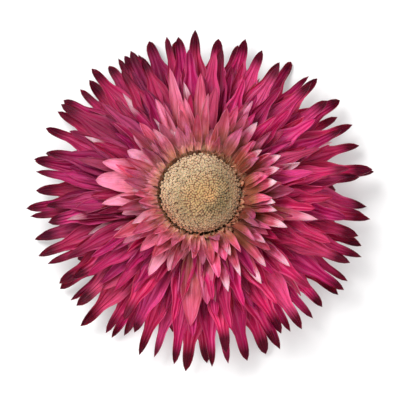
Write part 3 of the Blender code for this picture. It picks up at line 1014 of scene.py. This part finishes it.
def papery(name, stops, tip, faded, deep, streak=0.55, brown=None, contrast=0.6, painted_side_shade=0.0):
    """A dry papery bract: colours along it, faded and deep streaks, which on the pleats are painted highlight
    on the ridges and painted shade in the furrows, a shade of its own, painted glints on some tips, a satin
    surface.

    Painted shade darkens it to the upper left, and lightens it a little to the lower right, by the share in
    its last argument for each metre. brown is its base's colour on the right.
    """
    finish = Finish(name)
    s, u, tone = finish.kept("marks")
    pale, tipped, ridge = finish.kept("state")
    shift = finish.times(tone, TONE_SHIFT)
    across, length = GRAIN_SCALE
    fine = finish.vector(finish.times(u, across), finish.times(s, length), shift)
    grain = finish.noise(fine, 2.2, detail=6.0, roughness=0.65)
    across, length = BLOTCH_SCALE
    blotch = finish.noise(finish.vector(finish.times(u, across), finish.times(s, length), shift), 1.6)
    place = finish.maths("ADD", s, finish.fit(grain, 0.12, -0.06))
    place = finish.maths("ADD", place, finish.fit(tone, 0.06, -0.03), clamp=True)
    colour = finish.ramp(place, stops)

    # Faded streaks and edges, then deep furrows and blotches. Streaks and furrows follow the grain and the
    # pleats: on the pleats they are painted highlight on the ridges and painted shade in the furrows.
    relief = finish.maths("ADD", grain, finish.times(ridge, 0.13))
    streaks = finish.times(finish.ramp(relief, STREAKS), streak)
    fading = finish.maths("MAXIMUM", streaks, finish.times(pale, finish.ramp(place, BEYOND_BASE)))
    edge = finish.ramp(finish.maths("ABSOLUTE", u), PALE_EDGE)
    fading = finish.maths("ADD", fading, edge, clamp=True)
    colour = finish.mix(fading, colour, finish.mix(0.5, colour, faded))
    shade = finish.maths("MAXIMUM", finish.ramp(blotch, BLOTCHES), finish.ramp(relief, FURROWS))
    colour = finish.mix(finish.times(shade, 0.75), colour, finish.mix(0.75, colour, deep))

    # A shade of its own, painted shade darker to the upper left and a little lighter to the lower right, and
    # a brown base on the right
    hue = finish.fit(tone, 0.018, 0.494)
    value = finish.fit(finish.maths("FRACT", finish.times(tone, float(SHADES))), contrast, 1 - contrast / 2)
    x, y, _ = finish.split(finish.where())
    to_left = finish.maths("SUBTRACT", y, finish.times(x, 1.3))
    value = finish.times(value, finish.maths("MINIMUM", finish.fit(to_left, -painted_side_shade, 1.0), 1.1))
    if brown:
        on_right = finish.ramp(finish.times(x, CENTIMETRES), BROWN_SIDE)
        browned = finish.times(finish.times(on_right, finish.ramp(place, BROWN_BASE)), 0.95)
        colour = finish.mix(browned, colour, brown)
    colour = finish.tint(colour, hue, 1.0, value)

    # Dark tips, or a painted glint on a tip
    darkened = finish.maths("MULTIPLY", finish.ramp(place, DARK_TIP), tipped, clamp=True)
    colour = finish.mix(darkened, colour, tip)
    glint_strength = finish.maths("MULTIPLY", tipped, -1.0, clamp=True)
    from_tip = finish.maths("ADD", place, finish.times(pale, 0.24))
    painted_glint = finish.times(finish.ramp(from_tip, GLINT_ALONG_TIP), glint_strength)
    colour = finish.mix(painted_glint, colour, finish.mix(finish.fit(grain, 0.8, 0.4), colour, GLINT_COLOUR))

    ribs = finish.maths("SINE", finish.times(u, RIB_PHASE))
    normal = finish.bump(finish.maths("ADD", finish.times(ribs, 0.3), grain), 0.00008)
    finish.set(Base_Color=colour, Roughness=finish.fit(grain, 0.3, 0.2), Normal=normal)
    return finish.set(Specular_IOR_Level=0.14, Subsurface_Weight=0.25, Subsurface_Scale=0.001)


def ray_paper():
    stops = [
        (0.0, (0.50, 0.17, 0.10)),
        (0.25, (0.62, 0.11, 0.14)),
        (0.45, (0.66, 0.040, 0.18)),
        (0.75, (0.60, 0.014, 0.15)),
        (1.0, (0.50, 0.010, 0.12)),
    ]
    return papery("ray_paper", stops, tip=(0.060, 0.0005, 0.014), faded=(0.92, 0.22, 0.44),
                  deep=(0.17, 0.001, 0.034), painted_side_shade=13.5)


def inner_paper():
    stops = [
        (0.0, (0.76, 0.32, 0.20)),
        (0.22, (0.79, 0.30, 0.20)),
        (0.38, (0.76, 0.21, 0.20)),
        (0.65, (0.74, 0.12, 0.23)),
        (1.0, (0.72, 0.07, 0.22)),
    ]
    return papery("inner_paper", stops, tip=(0.10, 0.01, 0.02), faded=(0.97, 0.34, 0.56),
                  deep=(0.28, 0.02, 0.05), streak=0.8, brown=(0.34, 0.085, 0.055), contrast=0.8)


def chaff_paper():
    stops = [(0.0, (0.60, 0.27, 0.15)), (0.6, (0.74, 0.32, 0.19)), (1.0, (0.78, 0.33, 0.22))]
    return papery("chaff_paper", stops, tip=(0.10, 0.03, 0.02), faded=(0.90, 0.52, 0.38),
                  deep=(0.44, 0.15, 0.09))


def scale_paper():
    stops = [
        (0.0, (0.16, 0.09, 0.04)),
        (0.4, (0.34, 0.19, 0.09)),
        (0.8, (0.48, 0.24, 0.14)),
        (1.0, (0.30, 0.11, 0.07)),
    ]
    return papery("scale_paper", stops, tip=(0.10, 0.04, 0.02), faded=(0.66, 0.46, 0.28),
                  deep=(0.12, 0.05, 0.02))


def floret_velvet():
    """The disc's florets: straw, with painted light paler at the upper left, painted olive shade to the
    right, a warm bud beside a painted crescent of shadow, and painted shade low between the florets."""
    finish = Finish("floret_velvet")
    share, height, tone = finish.kept("marks")
    closed, _, _ = finish.kept("state")
    where = finish.where()
    patch = finish.noise(where, 420.0, detail=3.0)
    rough = finish.fit(patch, 0.2, -0.1)
    place = finish.maths("ADD", share, finish.fit(patch, 0.16, -0.08), clamp=True)
    colour = finish.ramp(place, [
        (0.0, (0.51, 0.32, 0.13)),
        (0.33, (0.50, 0.325, 0.15)),
        (0.60, (0.49, 0.335, 0.18)),
        (0.86, (0.53, 0.34, 0.20)),
        (0.98, (0.50, 0.23, 0.135)),
    ])

    # Right of the bud, above it and away from it, in shares of the disc's radius
    bud = Vector((*(AXIS[:2] + np.array(BUD_CENTRE) * MM), 0.0))
    from_bud = finish.node("ShaderNodeVectorMath", {0: where, 1: bud}, operation="SUBTRACT").outputs[0]
    x, y, _ = finish.split(from_bud)
    x = finish.maths("DIVIDE", x, DISC_RADIUS * MM)
    y = finish.maths("DIVIDE", y, DISC_RADIUS * MM)
    away = finish.maths("SQRT", finish.maths("ADD", finish.times(x, x), finish.times(y, y)))
    away = finish.maths("ADD", away, rough)

    upper_left = finish.maths("SUBTRACT", y, finish.times(x, 0.6))
    olive = finish.ramp(finish.maths("ADD", x, rough), [(0.0, 0.0), (0.45, 1.0)])
    crescent = finish.ramp(away, [(0.20, 0.0), (0.32, 1.0), (0.48, 0.0)])
    lower_right = finish.ramp(finish.maths("SUBTRACT", x, y), [(0.02, 0.0), (0.3, 1.0)])
    rim = finish.ramp(place, [(0.72, 0.0), (0.88, 1.0)])
    # Painted light paler to the upper left, painted olive shade to the right, a painted crescent of shadow to
    # the lower right of the bud, a darker rim within the painted olive shade, then the bud's warm colour and
    # the closed florets' own colour
    for share_of, most, tinge in (
        (finish.ramp(upper_left, [(0.3, 0.0), (1.1, 1.0)]), 0.75, (0.72, 0.54, 0.35)),
        (olive, 0.75, (0.33, 0.24, 0.115)),
        (finish.times(crescent, lower_right), 0.9, (0.15, 0.12, 0.045)),
        (finish.times(rim, olive), 0.6, (0.52, 0.31, 0.19)),
        (finish.ramp(away, [(0.07, 1.0), (0.20, 0.0)]), 0.85, (0.66, 0.36, 0.15)),
        (closed, 0.2, (0.62, 0.41, 0.19)),
    ):
        colour = finish.mix(finish.times(share_of, most), colour, tinge)

    # Painted shade low between the florets, with their tops in full colour
    lit = finish.ramp(height, [(0.0, 0.0), (0.9, 1.0)])
    colour = finish.mix(lit, finish.mix(0.2, colour, (0.26, 0.15, 0.07)), colour)
    colour = finish.tint(colour, 0.5, 1.0, finish.fit(tone, 0.22, 0.92))
    fuzz = finish.noise(where, 9000.0)
    finish.set(Base_Color=colour, Roughness=0.9, Normal=finish.bump(fuzz, 0.00003), Specular_IOR_Level=0.2)
    return finish.set(Sheen_Weight=0.25, Sheen_Roughness=0.5, Subsurface_Weight=0.2, Subsurface_Scale=0.0005)


def stem_fibre():
    """Dry brown fibre that runs along the stem, with paler pith in its cut end."""
    finish = Finish("stem_fibre")
    height, distance, _ = finish.kept("marks")
    long = finish.node("ShaderNodeMapping", {"Vector": finish.where(), "Scale": (1.0, 1.0, 0.12)}).outputs[0]
    fibre = finish.noise(long, 4200.0)
    stops = [(0.3, (0.12, 0.075, 0.03)), (0.55, (0.30, 0.19, 0.09)), (0.75, (0.44, 0.32, 0.17))]
    colour = finish.ramp(fibre, stops)
    pith = finish.times(finish.maths("LESS_THAN", height, 0.03), finish.maths("LESS_THAN", distance, 0.8))
    colour = finish.mix(pith, colour, finish.mix(0.35, (0.62, 0.52, 0.34), colour))
    return finish.set(Base_Color=colour, Roughness=0.85, Normal=finish.bump(fibre, 0.00008), Sheen_Weight=0.1)


def make_floor():
    """A wide pale floor, just under the lowest point of the head."""
    height = CAD_BOX[0].z - FLOOR_GAP
    mesh = bpy.data.meshes.new("floor")
    corners = [(x * FLOOR_HALF, y * FLOOR_HALF, height) for x, y in ((-1, -1), (1, -1), (1, 1), (-1, 1))]
    mesh.from_pydata(corners, [], [(0, 1, 2, 3)])
    finish = Finish("floor_paper")
    colour = finish.ramp(finish.noise(finish.where(), 300.0), [(0.0, (0.70,) * 3), (1.0, (0.73,) * 3)])
    finish.set(Base_Color=colour, Roughness=0.9, Emission_Color=WHITE, Emission_Strength=FLOOR_GLOW)
    mesh.materials.append(finish.material)
    floor = bpy.data.objects.new("floor", mesh)
    bpy.context.scene.collection.objects.link(floor)


def aim(obj, place, target):
    obj.location = place
    obj.rotation_mode = "QUATERNION"
    obj.rotation_quaternion = (Vector(target) - Vector(place)).to_track_quat("-Z", "Y")


def make_light(name, bearing, elevation, size, power):
    """A soft square lamp, aimed at the head from a bearing and a height, in degrees."""
    lamp = bpy.data.lights.new(name, "AREA")
    lamp.size = size
    lamp.energy = power
    obj = bpy.data.objects.new(name, lamp)
    bpy.context.scene.collection.objects.link(obj)
    b, e = math.radians(bearing), math.radians(elevation)
    place = Vector((math.cos(b) * math.cos(e), math.sin(b) * math.cos(e), math.sin(e))) * LAMP_DISTANCE
    aim(obj, place, LAMP_TARGET)


def make_studio():
    world = bpy.data.worlds.new("studio")
    bpy.context.scene.world = world
    world.use_nodes = True
    background = world.node_tree.nodes["Background"]
    background.inputs["Color"].default_value = WHITE
    background.inputs["Strength"].default_value = WORLD_STRENGTH
    for lamp in LAMPS:
        make_light(*lamp)
    bpy.context.scene.view_settings.view_transform = "Standard"


def make_camera():
    lens = bpy.data.cameras.new("camera")
    lens.sensor_width = SENSOR
    lens.lens = SENSOR * CAMERA_DISTANCE / (FRAME_PIXELS * PIXEL)
    camera = bpy.data.objects.new("camera", lens)
    bpy.context.scene.collection.objects.link(camera)
    elevation = math.radians(CAMERA_ELEVATION)
    low, high = CAD_BOX
    target = Vector(((low.x + high.x) / 2, (low.y + high.y) / 2, TARGET_HEIGHT * high.z))
    back = Vector((0.0, -math.cos(elevation), math.sin(elevation))) * CAMERA_DISTANCE * MM
    aim(camera, target + back, target)
    bpy.context.scene.camera = camera


make_camera()
make_studio()
make_floor()
rays = ray_paper()
inners = inner_paper()
make_bracts("ray_bracts_paper", [(RAYS, RAY_DRYNESS)], RAY_GRID, rays, "ray_bracts")
extra = [(BACKING, RAY_DRYNESS), (FILLING, FILLING_DRYNESS)]
make_bracts("filling_bracts_paper", extra, FILLING_GRID, rays, "ray_bracts")
ring = [(INNERS, INNER_DRYNESS), (RUFF, INNER_DRYNESS)]
make_bracts("inner_bracts_paper", ring, INNER_GRID, inners, "inner_bracts")
make_bracts("chaff_paper", [(CHAFF, CHAFF_DRYNESS)], CHAFF_GRID, chaff_paper(), "inner_bracts")
scales = [(SCALES, SCALE_DRYNESS), (SCALE_ROWS, SCALE_DRYNESS)]
make_bracts("scale_bracts_paper", scales, SCALE_GRID, scale_paper(), "scale_bracts")
make_disc(floret_velvet())
make_stem(stem_fibre())
